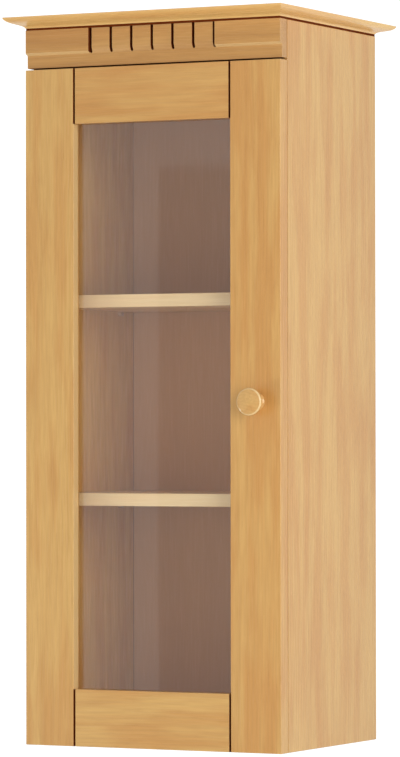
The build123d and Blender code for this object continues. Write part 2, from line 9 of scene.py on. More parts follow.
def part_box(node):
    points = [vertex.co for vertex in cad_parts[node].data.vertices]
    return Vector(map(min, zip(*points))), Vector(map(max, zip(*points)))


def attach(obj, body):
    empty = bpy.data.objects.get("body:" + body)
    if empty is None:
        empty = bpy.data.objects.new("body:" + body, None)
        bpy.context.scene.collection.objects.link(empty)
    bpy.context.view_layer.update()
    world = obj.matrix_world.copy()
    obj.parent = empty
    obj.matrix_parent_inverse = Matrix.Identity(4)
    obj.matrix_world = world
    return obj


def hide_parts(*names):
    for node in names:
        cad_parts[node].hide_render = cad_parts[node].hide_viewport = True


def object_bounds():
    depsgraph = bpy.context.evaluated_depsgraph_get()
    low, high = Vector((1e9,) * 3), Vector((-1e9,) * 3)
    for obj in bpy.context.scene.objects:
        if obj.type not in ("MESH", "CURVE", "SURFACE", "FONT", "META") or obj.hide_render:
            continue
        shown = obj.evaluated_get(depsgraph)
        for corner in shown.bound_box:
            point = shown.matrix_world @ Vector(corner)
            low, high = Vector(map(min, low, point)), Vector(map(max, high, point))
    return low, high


bl_info = {
    "name": "Glazed wall cabinet",
    "version": (1, 0, 0),
    "blender": (4, 5, 0),
    "location": "View3D > Sidebar > Cabinet",
    "description": "Finishes the pieces of a lacquered wall cabinet with a glazed door",
    "category": "Add Mesh",
}

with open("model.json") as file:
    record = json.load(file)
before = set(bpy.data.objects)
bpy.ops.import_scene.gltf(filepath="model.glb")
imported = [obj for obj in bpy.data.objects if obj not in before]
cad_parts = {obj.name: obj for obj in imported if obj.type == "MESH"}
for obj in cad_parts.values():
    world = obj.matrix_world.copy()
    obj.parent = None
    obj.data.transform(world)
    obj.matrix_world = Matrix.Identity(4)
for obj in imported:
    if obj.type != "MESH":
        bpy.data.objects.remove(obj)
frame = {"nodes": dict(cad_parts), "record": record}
cad_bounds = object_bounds()
body_of = {node: body for body, members in frame["record"]["behaviour"]["bodies"].items() for node in members}
slot_of = {entry["node"]: entry["material_slot"] for entry in frame["record"]["subparts"]}

# Which way the grain runs in each wooden piece.
GRAIN = {
    "X": [
        "top_panel", "bottom_panel", "front_rail", "fascia_board", "hanging_batten", "spacer_batten",
        "crown_spacer", "crown_deck", "crown_front", "crown_back", "door_bottom_rail", "door_top_rail",
        "lower_glazing_bead", "upper_glazing_bead", "lower_shelf", "upper_shelf",
        "top_panel_dowels", "bottom_panel_dowels", "front_rail_dowels", "batten_dowels", "door_dowels",
    ],
    "Y": ["crown_left", "crown_right", "knob"],
    "Z": [
        "left_side_panel", "right_side_panel", "door_left_stile", "door_right_stile",
        "left_glazing_bead", "right_glazing_bead", "back_panel",
    ],
}
WOODS = ("pine", "shelf_pine", "back_board", "beech")
WOODEN = [node for nodes in GRAIN.values() for node in nodes]
DOWELS = [node for node in WOODEN if slot_of[node] == "beech"]
BOARDS = [node for node in WOODEN if node not in DOWELS + ["knob", "fascia_board"]]
SCREWS = [node for node in slot_of if node.endswith("_screws")] + ["strike_screw"]
SHELF_PINS = ["upper_shelf_pins", "lower_shelf_pins"]
APART = ["knob", "fascia_board", "glass_pane", "bead_brads"]
FITTINGS = [node for node in slot_of if node not in WOODEN + SCREWS + SHELF_PINS + APART]

# How much of the redder tone each board has. The others have an even share.
AMBER_SHARE = {
    "door_left_stile": 0.30, "door_bottom_rail": 0.32, "door_right_stile": 0.75, "door_top_rail": 0.80,
    "left_side_panel": 0.35, "right_side_panel": 0.35, "crown_front": 0.35, "crown_right": 0.45,
}

# How strongly the figure of a kind of wood shows. The others have PLAIN_DEPTH.
FIGURE_DEPTH = {"shelf_": 0.45, "back_": 0.12, "crown_": 0.32}
PLAIN_DEPTH = 0.72

# Polished tone, dull tone, roughness, and how often the brushing changes per metre along X, Y and Z.
METALS = {
    "brass": ((0.80, 0.61, 0.29), (0.58, 0.40, 0.17), 0.32, (900, 900, 60)),
    "zinc": ((0.74, 0.74, 0.72), (0.56, 0.56, 0.55), 0.30, (500, 500, 500)),
}
# First tone, second tone, grains per metre, roughness and strength of the grain.
GRAINY = {
    "brown_plastic": ((0.36, 0.19, 0.09), (0.30, 0.15, 0.07), 900, 0.5, 0.2),
    "magnet": ((0.045, 0.045, 0.05), (0.10, 0.10, 0.10), 2500, 0.7, 0.5),
    "felt": ((0.30, 0.20, 0.13), (0.22, 0.14, 0.09), 3500, 0.95, 0.9),
}

# Points closer than SAME_POINT are one point. Faces that meet at less than FLAT are one face, and edges are
# rounded where they meet at more than SHARP. A test for the place of a face lets it lie MARGIN beside that place.
SAME_POINT = 2e-6
MARGIN = 1e-5
FLAT = math.radians(0.2)
SHARP = math.radians(30)

# The soft left and top edges of the studio's darker part in reflections, as slopes seen from the cabinet.
DARKER_LEFT = (-0.5285, -0.5272)
DARKER_TOP = (0.0695, 0.0730)


def colour(name, description, default):
    """A colour setting."""
    return bpy.props.FloatVectorProperty(
        name=name, description=description, subtype="COLOR", size=3, min=0, max=1, default=default
    )


def length(name, description, default):
    """A length setting in metres."""
    return bpy.props.FloatProperty(
        name=name, description=description, subtype="DISTANCE", unit="LENGTH", min=0, precision=5,
        default=default,
    )


def degrees(name, description, default):
    """An angle setting, with its default in degrees."""
    return bpy.props.FloatProperty(
        name=name, description=description, subtype="ANGLE", default=math.radians(default)
    )


def share(name, description, default, high=1.0):
    """A setting without a unit."""
    return bpy.props.FloatProperty(name=name, description=description, min=0, max=high, default=default)


def count(name, description, default):
    """A whole number."""
    return bpy.props.IntProperty(name=name, description=description, min=1, default=default)


class CABINET_PG_sizes(bpy.types.PropertyGroup):
    """Sizes of the finished edges, the joint lines and the small parts."""

    arris: length("Arris", "Rounding of the edges of the boards", 0.00025)
    longest_plain_edge: length("Plain edge", "Edges of boards up to this length stay sharp", 0.012)
    metal_arris: length("Metal arris", "Rounding of the edges of metal and plastic pieces", 0.00015)
    glass_arris: length("Glass arris", "Ground edge of the glass", 0.0008)
    joint_width: length("Joint line", "Width of the groove between stile and rail", 0.0024)
    joint_depth: length("Joint depth", "Depth of the groove between stile and rail", 0.006)
    dowel_flutes: count("Dowel flutes", "Glue flutes round a dowel", 20)
    dowel_flute: length("Flute depth", "Depth of a dowel's glue flutes", 0.00028)
    dowel_chamfer: length("Dowel chamfer", "Chamfer at both ends of a dowel", 0.001)
    # Painted light on the hinge stile's inner edge, which faces the right lamp.
    inner_edge_light: share("Edge wear", "Wear of the hinge stile's inner edge, in units of the edge wear", 5, 9)
    # The dark corner line is painted shade.
    corner_line: length("Corner line", "Width of the dark line where a side meets the back panel", 0.0012)
    thread_pitch: length("Thread pitch", "Pitch of the wood screws' threads", 0.0013)
    recess_width: length("Recess width", "Width of the cross recess's arms", 0.0008)
    recess_depth: length("Recess depth", "Depth of the cross recess", 0.001)
    brad_head: length("Brad head", "Height of a brad's head", 0.0005)
    rest_length: length("Rest length", "Length of a shelf pin's rest", 0.007)
    pin_rounding: length("Pin rounding", "Rounding of a shelf pin's ends", 0.0005)


class CABINET_PG_fascia(bpy.types.PropertyGroup):
    """Sizes of the fascia's section, flutes and end rebates."""

    band: length("Band", "Height of the set-back lower band", 0.0179)
    band_recess: length("Band recess", "Set-back of the lower band behind the end blocks", 0.006)
    bevel: length("Bevel", "Height of the bevel under the end blocks", 0.003)
    middle_recess: length("Middle recess", "Set-back of the fluted middle", 0.0025)
    ramp: length("Ramp", "Height over which the middle runs down to the band", 0.008)
    flutes: count("Flutes", "Upright grooves", 7)
    pitch: length("Pitch", "Distance between grooves", 0.0324)
    flute_width: length("Flute width", "Width of a groove", 0.004)
    flute_depth: length("Flute depth", "Depth of a groove", 0.008)
    flute_length: length("Flute length", "Length of a groove from the top edge", 0.035)
    rebate_width: length("Rebate width", "Width of the shadow rebates behind the ends", 0.004)
    rebate_depth: length("Rebate depth", "Depth of the shadow rebates behind the ends", 0.0022)
    # Painted highlight on the bevel under the end blocks.
    bevel_highlight: share("Bevel wear", "Wear of the bevel under the end blocks, in units of the edge wear", 5, 9)


class CABINET_PG_knob(bpy.types.PropertyGroup):
    """Section of the turned knob, measured from the door's front."""

    bore_radius: length("Bore radius", "Radius of the hole for the knob's screw", 0.00205)
    bore: length("Bore", "Depth of the hole for the knob's screw", 0.014)
    foot_radius: length("Foot radius", "Radius where the knob stands on the door", 0.013)
    foot: length("Foot", "Height of the foot's upright edge", 0.0015)
    waist_radius: length("Waist radius", "Radius of the waist", 0.0085)
    waist: length("Waist", "Height of the waist", 0.010)
    disc: length("Disc", "Height of the disc's back", 0.018)
    rim: length("Rim", "Rounding of the disc's rim", 0.0032)
    front: length("Front edge", "Height of the disc's front edge", 0.0252)
    around: count("Steps around", "Faces around the knob", 96)
    # Painted highlight on the disc's rim.
    rim_highlight: share("Rim wear", "Wear of the disc's rim, in units of the edge wear", 8, 9)


class CABINET_PG_wood(bpy.types.PropertyGroup):
    """Colour and figure of the lacquered wood."""

    honey: colour("Honey", "Yellower tone", (0.725, 0.435, 0.142))
    amber: colour("Amber", "Redder tone", (0.645, 0.328, 0.095))
    late: colour("Late wood", "Darker lines, as a share of the redder tone", (0.640, 0.550, 0.450))
    # The paler edge colour is partly worn lacquer and partly painted highlight along the edges.
    worn: colour("Worn edge", "Thin lacquer along the edges", (0.800, 0.560, 0.260))
    # Painted shade: the dark colour that grooves, joint lines, corners and the crown spacer get for the shade in
    # them.
    stain: colour("Stain", "Dark stain in grooves and joint lines", (0.115, 0.021, 0.003))
    fascia_honey: colour("Fascia honey", "Yellower tone of the fascia", (0.600, 0.324, 0.098))
    fascia_amber: colour("Fascia amber", "Redder tone of the fascia", (0.530, 0.270, 0.078))
    # The crown's paler tones are painted light: they lift its downward-facing moulding to the brightness of the
    # front.
    crown_honey: colour("Crown honey", "Yellower tone of the crown", (0.870, 0.560, 0.200))
    crown_amber: colour("Crown amber", "Redder tone of the crown", (0.800, 0.460, 0.155))
    shelf_honey: colour("Shelf honey", "Yellower tone of the paler shelves", (0.900, 0.680, 0.360))
    shelf_amber: colour("Shelf amber", "Redder tone of the paler shelves", (0.860, 0.600, 0.290))
    back_honey: colour("Back light", "Lighter tone of the back panel", (0.720, 0.455, 0.250))
    back_amber: colour("Back dark", "Darker tone of the back panel", (0.710, 0.445, 0.245))
    beech_honey: colour("Beech light", "Lighter tone of the dowels", (0.740, 0.540, 0.300))
    beech_amber: colour("Beech dark", "Darker tone of the dowels", (0.660, 0.440, 0.220))
    ring_pitch: length("Ring pitch", "Width of a year ring", 0.0042)
    ring_depth: share("Ring depth", "Strength of the year rings", 0.14)
    streak_depth: share("Streak depth", "Strength of the short fine streaks", 0.75, 4)
    fibre_depth: share("Fibre depth", "Strength of the finest fibres", 0.35)
    roughness: share("Roughness", "Roughness of the lacquer", 0.26)
    knob_roughness: share("Knob roughness", "Roughness of the lacquer on the turned knob", 0.12)
    # How strongly the paler edges show: partly wear, partly painted highlight.
    wear_and_sheen_strength: share("Wear", "Strength of the worn edges", 0.15)


class CABINET_PG_studio(bpy.types.PropertyGroup):
    """Camera, lamps and floor."""

    lens: bpy.props.FloatProperty(name="Lens", description="Focal length in millimetres", default=199.3)
    eye: bpy.props.FloatVectorProperty(
        name="Eye", description="Place of the camera", subtype="TRANSLATION", unit="LENGTH",
        default=(2.7238, -5.4813, -0.5127),
    )
    yaw: degrees("Yaw", "Turn to the left of the wall's normal", 27.261)
    pitch: degrees("Pitch", "Tilt above the horizon", 0.726)
    roll: degrees("Roll", "Turn about the line of sight", -0.070)
    dome: share("Dome", "Strength of the even light from all round", 0.38, 4)
    front_lamp: share("Front lamp", "Power of the lamp beside the camera, in watts", 8, 1000)
    left_lamp: share("Left lamp", "Power of the low lamp at the front left, in watts", 29, 1000)
    right_lamp: share("Right lamp", "Power of the lamp at the front right, in watts", 39, 1000)
    reflection: share("Reflection", "Strength of the white surround in reflections", 1.15, 4)
    wall_shade: share("Wall shade", "How much darker the lower right shows in reflections", 0.27)
    floor: length("Floor", "Depth of the floor below the cabinet's foot", 0.5)


class Value:
    """What comes out of a node, ready for sums with other values, numbers and vectors."""

    def __init__(self, tree, socket):
        self.tree, self.socket = tree, socket

    def maths(self, operation, *others):
        """One sum on numbers."""
        return out(self.tree, "ShaderNodeMath", dict(enumerate((self, *others))), operation=operation)

    def vector(self, operation, *others, socket=0):
        """One sum on vectors."""
        inputs = dict(enumerate((self, *others)))
        return out(self.tree, "ShaderNodeVectorMath", inputs, socket, operation=operation)

    def __add__(self, other):
        return self.maths("ADD", other)

    def __sub__(self, other):
        return self.maths("SUBTRACT", other)

    def __mul__(self, other):
        return self.maths("MULTIPLY", other)

    def __truediv__(self, other):
        return self.maths("DIVIDE", other)

    def __neg__(self):
        return self * -1.0


def feed(node, inputs):
    """Sets sockets of a node, by name or number, to a value, an output or a list of outputs."""
    for key, value in dict(inputs).items():
        for source in value if isinstance(value, list) else [value]:
            if isinstance(source, Value):
                source.tree.links.new(source.socket, node.inputs[key])
            else:
                node.inputs[key].default_value = source


def put(tree, kind, inputs=(), **settings):
    """Adds a node."""
    node = tree.nodes.new(kind)
    for key, value in settings.items():
        setattr(node, key, value)
    feed(node, inputs)
    return node


def out(tree, kind, inputs=(), socket=0, **settings):
    """Adds a node and gives one of its outputs."""
    return Value(tree, put(tree, kind, inputs, **settings).outputs[socket])


def outputs(tree, kind, inputs=(), **settings):
    """Adds a node and gives its outputs by name."""
    return {socket.name: Value(tree, socket) for socket in put(tree, kind, inputs, **settings).outputs}


def joined(tree, x=0.0, y=0.0, z=0.0):
    """A vector from three numbers."""
    return out(tree, "ShaderNodeCombineXYZ", {0: x, 1: y, 2: z})


def mixed(factor, first, second):
    """A blend of two colours."""
    return out(factor.tree, "ShaderNodeMix", {0: factor, 6: first, 7: second}, 2, data_type="RGBA")


def mixed_shaders(factor, first, second):
    """A blend of two shaders."""
    return out(factor.tree, "ShaderNodeMixShader", {0: factor, 1: first, 2: second})


def eased_step(value, low, high):
    """0 below low and 1 above high, with a soft change between them."""
    inputs = {0: value, 1: low, 2: high}
    return out(value.tree, "ShaderNodeMapRange", inputs, interpolation_type="SMOOTHSTEP")


def noise(place, scale, detail, socket=0):
    """Soft noise that changes about so often per metre."""
    return out(place.tree, "ShaderNodeTexNoise", {"Vector": place, "Scale": scale, "Detail": detail}, socket)


def streaks(place, along, across, detail=2.0, socket=0):
    """Noise drawn out along the grain: how often it changes per metre along and across it."""
    return noise(place.vector("MULTIPLY", (along, across, across)), 1.0, detail, socket)


def bumped(height, strength, distance):
    """The normal of a surface with fine relief."""
    return out(height.tree, "ShaderNodeBump", {"Strength": strength, "Distance": distance, "Height": height})


def wear_and_sheen_faces(tree):
    """Edge wear and painted highlight: 0 on plain faces, 1 on rounded edges, more on the palest, painted-light
    parts.
    """
    return out(tree, "ShaderNodeAttribute", socket="Fac", attribute_name="arris")


def opaque(value):
    """A colour setting as a socket's value."""
    return (*value, 1.0)


def new_material(name):
    """An empty material: its Principled shader, on its output, and the place on the object."""
    material = bpy.data.materials.new(name)
    material.use_nodes = True
    tree = material.node_tree
    tree.nodes.clear()
    shader = put(tree, "ShaderNodeBsdfPrincipled")
    put(tree, "ShaderNodeOutputMaterial", {"Surface": Value(tree, shader.outputs[0])})
    return material, shader, out(tree, "ShaderNodeTexCoord", socket="Object")


def show(surface):
    """Puts another shader on the output of its material."""
    feed(next(node for node in surface.tree.nodes if node.type == "OUTPUT_MATERIAL"), {"Surface": surface})


def solid_wood():
    """The shader group of all the wooden pieces: year rings, fibres, streaks and flecks in solid wood."""
    found = bpy.data.node_groups.get("Solid wood")
    if found:
        return found
    wood = bpy.context.scene.cabinet_wood
    tree = bpy.data.node_groups.new("Solid wood", "ShaderNodeTree")
    for way, sockets in (
        ("INPUT", {
            "Place": "Vector", "Honey": "Color", "Amber": "Color", "Late": "Color", "Worn": "Color",
            "Amber share": "Float", "Depth": "Float", "Lacquer": "Float",
        }),
        ("OUTPUT", {"Colour": "Color", "Roughness": "Float", "Normal": "Vector"}),
    ):
        for name, kind in sockets.items():
            tree.interface.new_socket(name=name, in_out=way, socket_type="NodeSocket" + kind)
    given = outputs(tree, "NodeGroupInput")
    cloud = noise(given["Place"], 8.0, 2.0)
    sway = streaks(given["Place"], 2.2, 7, socket="Color").vector("SUBTRACT", (0.5, 0.5, 0.5))
    place = given["Place"].vector("ADD", sway.vector("MULTIPLY", (0, 0.016, 0.016)))
    radius = place.vector("MULTIPLY", (0, 1, 1)).vector("LENGTH", socket="Value")
    ring = (radius / wood.ring_pitch + streaks(place, 1.5, 60) * 1.6).maths("FRACT")
    late = eased_step(ring, 0.35, 0.9) * (-eased_step(ring, 0.9, 1.0) + 1.0)
    fibre = streaks(place, 14, 900, 3)
    tint = eased_step(streaks(place, 4, 38, 3), 0.36, 0.64)
    spread = place.vector("MULTIPLY", (34, 210, 210))
    cells = outputs(tree, "ShaderNodeTexVoronoi", {"Vector": spread, "Scale": 1.0})
    chosen = out(tree, "ShaderNodeSeparateColor", {0: cells["Color"]}).maths("GREATER_THAN", 0.88)
    fleck = (-eased_step(cells["Distance"], 0.08, 0.32) + 1.0) * chosen
    # From the finest fibres to the broad clouds, each with its weight.
    shade = late * wood.ring_depth + 0.14
    for figure, weight in (
        (fibre, wood.fibre_depth), (streaks(place, 22, 330), wood.streak_depth),
        (streaks(place, 6, 130), 0.35), (streaks(place, 1.3, 40), 0.22), (cloud, 0.12),
    ):
        shade = (figure - 0.5) * weight + shade
    shade = (fleck * 0.16 + shade).maths("MAXIMUM", 0.0) * given["Depth"]
    toned = (cloud - 0.5) * 0.8 + ((tint - 0.5) * 0.9 + given["Amber share"])
    coloured = mixed(shade, mixed(toned, given["Honey"], given["Amber"]), given["Late"])
    # Paler edges: partly wear, partly painted highlight.
    worn = wear_and_sheen_faces(tree)
    rough = (fibre - 0.5) * 0.2 + given["Lacquer"]
    put(tree, "NodeGroupOutput", {
        "Colour": mixed(worn * wood.wear_and_sheen_strength, coloured, given["Worn"]),
        "Roughness": worn.maths("MINIMUM", 1.0) * -0.05 + rough,
        "Normal": bumped(late * -0.4 + fibre, 0.12, 0.0002),
    })
    return tree


def grain_axes(node):
    """The axes along the grain, across it and through the board, as numbers."""
    along = next("XYZ".index(axis) for axis, names in GRAIN.items() if node in names)
    low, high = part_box(node)
    rest = (axis for axis in range(3) if axis != along)
    return along, *sorted(rest, key=lambda axis: low[axis] - high[axis])


def wooden(node):
    """The wood of one piece, cut from its own place in the log, so that no two boards look the same."""
    wood = bpy.context.scene.cabinet_wood
    kind = {"shelf_pine": "shelf_", "back_board": "back_", "beech": "beech_"}.get(slot_of[node], "")
    pale = bool(kind)
    if node == "fascia_board":
        kind = "fascia_"
    # The crown's paler tones are painted light on its downward-facing moulding.
    if node.startswith("crown"):
        kind = "crown_"
    honey, amber = getattr(wood, kind + "honey"), getattr(wood, kind + "amber")
    material, shader, place = new_material(node + "_wood")
    low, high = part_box(node)
    middle = (low + high) / 2
    axes = grain_axes(node)
    number = sorted(slot_of).index(node)
    # How far the board lies along the log, and to the side of the log's middle and above it, in metres.
    pith = (number * 0.731, 0.045 * math.sin(number * 1.9), 0.075 + 0.025 * math.cos(number * 2.3))
    seat = tuple(offset - middle[axis] for offset, axis in zip(pith, axes))
    split = outputs(place.tree, "ShaderNodeSeparateXYZ", {0: place})
    turned = joined(place.tree, *[split["XYZ"[axis]] for axis in axes])
    made = outputs(place.tree, "ShaderNodeGroup", {
        "Place": turned.vector("ADD", seat),
        "Honey": opaque(honey),
        "Amber": opaque(amber),
        "Late": opaque([value * part for value, part in zip(amber, wood.late)]),
        "Worn": opaque([min(value * 1.15, 1) for value in honey] if pale else wood.worn),
        "Amber share": AMBER_SHARE.get(node, 0.5),
        "Depth": FIGURE_DEPTH.get(kind, PLAIN_DEPTH),
        "Lacquer": wood.knob_roughness if node == "knob" else wood.roughness,
    }, node_tree=solid_wood())
    feed(shader, {
        "Base Color": made["Colour"], "Roughness": made["Roughness"], "Normal": made["Normal"], "IOR": 1.45,
    })
    return material


def dark_stain():
    """Painted shade: matte dark colour in grooves, joint lines, corners and undersides, with paler and darker
    fibres.
    """
    found = bpy.data.materials.get("dark_stain")
    if found:
        return found
    shade_colour = bpy.context.scene.cabinet_wood.stain
    material, shader, place = new_material("dark_stain")
    fibre = noise(place, 400.0, 3.0)
    lighter = opaque([value * 1.3 for value in shade_colour])
    feed(shader, {
        "Base Color": mixed(fibre, opaque(shade_colour), lighter), "Normal": bumped(fibre, 0.1, 0.0002),
        "Roughness": 0.9, "Specular IOR Level": 0.05,
    })
    return material


def metal(name, base, dull, roughness, brushed):
    """Plated or solid metal with dull patches, fine brushing and brighter edges."""
    material, shader, place = new_material(name)
    brushing = noise(place.vector("MULTIPLY", brushed), 1.0, 2.0)
    dulled = mixed(eased_step(noise(place, 160.0, 3.0), 0.4, 0.7), opaque(base), opaque(dull))
    polished = opaque([min(value * 1.12, 1) for value in base])
    feed(shader, {
        "Base Color": mixed(wear_and_sheen_faces(place.tree) * 0.6, dulled, polished), "Metallic": 1.0,
        "Roughness": brushing * 0.2 + (roughness - 0.1), "Normal": bumped(brushing, 0.15, 0.0001),
    })
    return material


def grainy(name, base, other, scale, roughness, depth):
    """Plastic, ferrite or felt: two mixed tones with a fine surface grain."""
    material, shader, place = new_material(name)
    grain = noise(place, scale, 4.0)
    tone = grain * 0.6 + noise(place, scale / 12, 1.0) * 0.4
    feed(shader, {
        "Base Color": mixed(tone, opaque(base), opaque(other)),
        "Roughness": grain * 0.2 + (roughness - 0.1), "Normal": bumped(grain, depth, 0.0003),
    })
    return material


def clear_glass():
    """Float glass that lets the lamps through to what is behind it."""
    material, shader, place = new_material("float_glass")
    feed(shader, {
        "Base Color": (0.97, 0.96, 0.96, 1), "Roughness": 0.0, "IOR": 1.5, "Transmission Weight": 1.0,
        "Normal": bumped(noise(place, 9.0, 1.0), 0.01, 0.001),
    })
    ray = outputs(place.tree, "ShaderNodeLightPath")
    clear = out(place.tree, "ShaderNodeBsdfTransparent", {"Color": (0.97, 0.965, 0.965, 1)})
    passing = ray["Is Shadow Ray"].maths("MAXIMUM", ray["Is Diffuse Ray"])
    show(mixed_shaders(passing, Value(place.tree, shader.outputs[0]), clear))
    return material


def material_of(node):
    """The finish of a node: its own wood, or the one material of its metal, plastic, ferrite or felt."""
    slot = slot_of[node]
    if slot in WOODS:
        return wooden(node)
    found = bpy.data.materials.get(slot)
    if found:
        return found
    if slot in METALS:
        return metal(slot, *METALS[slot])
    return grainy(slot, *GRAINY[slot])


def merged(node):
    """A copy of a node's mesh with its loose triangles joined to whole faces."""
    work = bmesh.new()
    work.from_mesh(frame["nodes"][node].data)
    bmesh.ops.remove_doubles(work, verts=work.verts, dist=SAME_POINT)
    bmesh.ops.dissolve_limit(work, angle_limit=FLAT, verts=work.verts, edges=work.edges, delimit={"NORMAL"})
    return work


def round_edges(work, radius, longer_than):
    """Rounds the long sharp edges outwards, and marks the new faces for the paler edges: partly wear, partly
    painted highlight.
    """
    work.normal_update()
    layer = work.faces.layers.float.new("arris")
    sharp = [
        edge for edge in work.edges
        if edge.is_manifold and edge.calc_length() > longer_than and edge.calc_face_angle_signed() > SHARP
    ]
    made = bmesh.ops.bevel(
        work, geom=sharp, offset=radius, offset_type="OFFSET", segments=2, profile=0.5, affect="EDGES",
        clamp_overlap=True,
    )
    for face in made["faces"]:
        face[layer] = 1.0


def stain(work, chosen):
    """Gives painted shade to the faces whose middle and normal pass a test."""
    for face in work.faces:
        if chosen(face.calc_center_median(), face.normal):
            face.material_index = 1


def paint_light(work, amount, chosen):
    """Paints light on the faces whose middle and normal pass a test, as more of the paler edge colour."""
    layers = work.faces.layers.float
    layer = layers.get("arris") or layers.new("arris")
    for face in work.faces:
        if chosen(face.calc_center_median(), face.normal):
            face[layer] = amount


def split_faces(work, axis, place):
    """Cuts all faces along a plane square to an axis."""
    point = Vector([place if number == axis else 0 for number in range(3)])
    normal = Vector([number == axis for number in range(3)])
    geometry = [*work.verts, *work.edges, *work.faces]
    bmesh.ops.bisect_plane(work, geom=geometry, dist=1e-7, plane_co=point, plane_no=normal)


def shade_joint_lines(work, node):
    """Paints shade into the groove between stile and rail, on either piece."""
    sizes = bpy.context.scene.cabinet_sizes
    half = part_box("door_top_rail")[1].x
    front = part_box(node)[0].y
    floor = front + sizes.joint_depth
    if node.endswith("rail"):
        wall = half - sizes.joint_width - MARGIN
        behind = front + 0.1 * MARGIN
        stain(work, lambda at, facing: abs(at.x) > wall and behind < at.y < floor + MARGIN)
        return
    reach = half + 0.0008
    foot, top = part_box("door_bottom_rail")[1].z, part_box("door_top_rail")[0].z
    split_faces(work, 2, foot)
    split_faces(work, 2, top)
    split_faces(work, 1, floor)
    stain(work, lambda at, facing: abs(at.x) < reach and at.y < floor and not foot < at.z < top)


def shade_inner_corner(work, node):
    """Paints shade on a thin strip of a side panel's inner face, along the back panel, as the dark corner line.
    """
    inner = min(abs(corner.x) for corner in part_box(node))
    low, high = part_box("back_panel")
    edge = low.y - bpy.context.scene.cabinet_sizes.corner_line
    short = 0.001
    split_faces(work, 1, edge)
    split_faces(work, 2, low.z + short)
    split_faces(work, 2, high.z - short)
    stain(work, lambda at, facing: abs(at.x) < inner + MARGIN and edge < at.y < low.y)


def welded(work):
    """Joins the points that lie together, and turns all faces outwards."""
    bmesh.ops.remove_doubles(work, verts=work.verts, dist=SAME_POINT)
    bmesh.ops.recalc_face_normals(work, faces=work.faces)


def new_object(name, data):
    """An object in the scene."""
    made = bpy.data.objects.new(name, data)
    bpy.context.scene.collection.objects.link(made)
    return made


def settle(piece):
    """Applies the piece's modifiers."""
    evaluated = piece.evaluated_get(bpy.context.evaluated_depsgraph_get())
    mesh = bpy.data.meshes.new_from_object(evaluated)
    mesh.name = piece.name
    piece.modifiers.clear()
    piece.data = mesh


def add_piece(name, work, material, smooth_below=50):
    """Makes the object of a finished piece, smooth where its faces meet at a small angle."""
    mesh = bpy.data.meshes.new(name)
    for edge in work.edges:
        edge.smooth = edge.is_manifold and edge.calc_face_angle() < math.radians(smooth_below)
    for face in work.faces:
        face.smooth = True
    # Faces with painted shade take the second material.
    has_painted_shade = any(face.material_index for face in work.faces)
    work.to_mesh(mesh)
    work.free()
    mesh.materials.append(material)
    if has_painted_shade:
        mesh.materials.append(dark_stain())
    piece = new_object(name, mesh)
    even = piece.modifiers.new("Even normals", "WEIGHTED_NORMAL")
    even.keep_sharp = True
    settle(piece)
    return piece


def stand_for(piece, node):
    """Lets the piece stand for its CAD node: puts it on the same body and hides the node."""
    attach(piece, body_of[node])
    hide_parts(node)


def shape_tree(name, settings):
    """A geometry node tree that takes a geometry, one named input for each setting, and a material."""
    tree = bpy.data.node_groups.new(name, "GeometryNodeTree")
    tree.interface.new_socket(name="Geometry", in_out="INPUT", socket_type="NodeSocketGeometry")
    for setting, default in settings.items():
        kind = "NodeSocketInt" if isinstance(default, int) else "NodeSocketFloat"
        tree.interface.new_socket(name=setting, in_out="INPUT", socket_type=kind).default_value = default
    tree.interface.new_socket(name="Material", in_out="INPUT", socket_type="NodeSocketMaterial")
    tree.interface.new_socket(name="Geometry", in_out="OUTPUT", socket_type="NodeSocketGeometry")
    return tree, outputs(tree, "NodeGroupInput")


def real_copies(geometry):
    """Instances turned into real copies."""
    return out(geometry.tree, "GeometryNodeRealizeInstances", {0: geometry})


def finish_tree(geometry, material):
    """Ends a tree: real copies, with their material."""
    tree = geometry.tree
    inputs = {"Geometry": real_copies(geometry), "Material": material}
    put(tree, "NodeGroupOutput", {0: out(tree, "GeometryNodeSetMaterial", inputs)})
    return tree


def grown(name, mesh, tree, values):
    """What a tree makes of a mesh, as a plain closed mesh."""
    piece = new_object(name, mesh)
    modifier = piece.modifiers.new("Shape", "NODES")
    modifier.node_group = tree
    for item in tree.interface.items_tree:
        if item.item_type == "SOCKET" and item.in_out == "INPUT" and item.name in values:
            modifier[item.identifier] = values[item.name]
    settle(piece)
    work = bmesh.new()
    work.from_mesh(piece.data)
    made = piece.data
    bpy.data.objects.remove(piece)
    bpy.data.meshes.remove(made)
    bpy.data.meshes.remove(mesh)
    welded(work)
    for face in work.faces:
        face.material_index = 0
    return work


def by_number(tree, values):
    """For each point of a line, the value that belongs to the point's number."""
    node = put(tree, "GeometryNodeIndexSwitch", data_type="FLOAT")
    while len(node.index_switch_items) < len(values):
        node.index_switch_items.new()
    feed(node, {0: out(tree, "GeometryNodeInputIndex"), **dict(enumerate(values, 1))})
    return Value(tree, node.outputs[0])


def rod(stations, section):
    """A closed rod that hangs from the origin: a section of radius 1, scaled at each (height, radius)."""
    tree = section.tree
    line = out(tree, "GeometryNodeCurvePrimitiveLine", {"Start": (0, 0, 0), "End": (0, 0, -1)})
    line = out(tree, "GeometryNodeResampleCurve", {"Curve": line, "Count": len(stations)})
    heights = joined(tree, z=by_number(tree, [height for height, radius in stations]))
    line = out(tree, "GeometryNodeSetPosition", {"Geometry": line, "Position": heights})
    radii = by_number(tree, [radius for height, radius in stations])
    inputs = {"Curve": line, "Profile Curve": section, "Scale": radii, "Fill Caps": True}
    return out(tree, "GeometryNodeCurveToMesh", inputs)


def ring(tree, points):
    """A round section of radius 1."""
    return out(tree, "GeometryNodeCurvePrimitiveCircle", {"Resolution": points, "Radius": 1.0})


